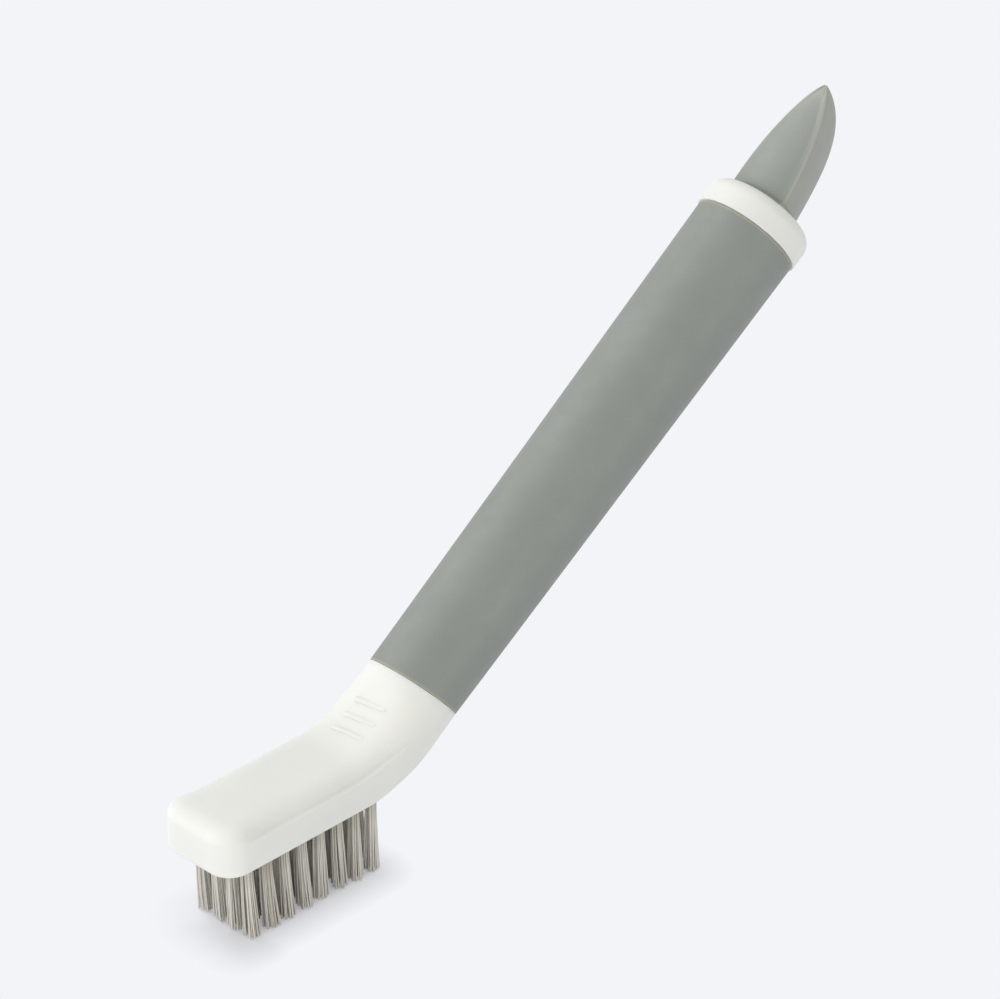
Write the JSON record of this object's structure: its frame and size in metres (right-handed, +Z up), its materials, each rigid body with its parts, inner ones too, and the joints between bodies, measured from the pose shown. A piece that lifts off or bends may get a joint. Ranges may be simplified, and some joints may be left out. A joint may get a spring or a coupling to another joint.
{
  "type": "utility brush",
  "caption": "Hand brush with a tufted bristle head, an angled neck with small ribs, a long round rubber grip, an end collar and a pointed rubber scraper tip.",
  "frame": {"origin": "middle of the brush's outline in plan, on the plane that the bristle tips touch", "axes": "+X runs from the bristle head towards the scraper tip, +Z up away from the bristle tips, and +Y across the brush, which is symmetric about y = 0"},
  "size_m": [0.1706, 0.0224, 0.1166],
  "materials": {
    "white_plastic_body": "satin moulded",
    "white_plastic_collar": "satin moulded",
    "grey_rubber_grip": "matte, soft to the touch",
    "grey_rubber_tip": "matte",
    "bristle_nylon": "matte filaments"
  },
  "bodies": {
    "root": {"brush_body": "white_plastic_body", "grip_sleeve": "grey_rubber_grip", "end_collar": "white_plastic_collar", "rubber_tip": "grey_rubber_tip", "tuft_r1_c1": "bristle_nylon", "tuft_r1_c2": "bristle_nylon", "tuft_r1_c3": "bristle_nylon", "tuft_r1_c4": "bristle_nylon", "tuft_r2_c1": "bristle_nylon", "tuft_r2_c2": "bristle_nylon", "tuft_r2_c3": "bristle_nylon", "tuft_r2_c4": "bristle_nylon", "tuft_r3_c1": "bristle_nylon", "tuft_r3_c2": "bristle_nylon", "tuft_r3_c3": "bristle_nylon", "tuft_r3_c4": "bristle_nylon", "tuft_r4_c1": "bristle_nylon", "tuft_r4_c2": "bristle_nylon", "tuft_r4_c3": "bristle_nylon", "tuft_r4_c4": "bristle_nylon", "tuft_r5_c1": "bristle_nylon", "tuft_r5_c2": "bristle_nylon", "tuft_r5_c3": "bristle_nylon", "tuft_r5_c4": "bristle_nylon", "tuft_r6_c1": "bristle_nylon", "tuft_r6_c2": "bristle_nylon", "tuft_r6_c3": "bristle_nylon", "tuft_r6_c4": "bristle_nylon", "tuft_r7_c1": "bristle_nylon", "tuft_r7_c2": "bristle_nylon", "tuft_r7_c3": "bristle_nylon", "tuft_r7_c4": "bristle_nylon", "tuft_r8_c1": "bristle_nylon", "tuft_r8_c2": "bristle_nylon", "tuft_r8_c3": "bristle_nylon", "tuft_r8_c4": "bristle_nylon"}
  },
  "joints": []
}
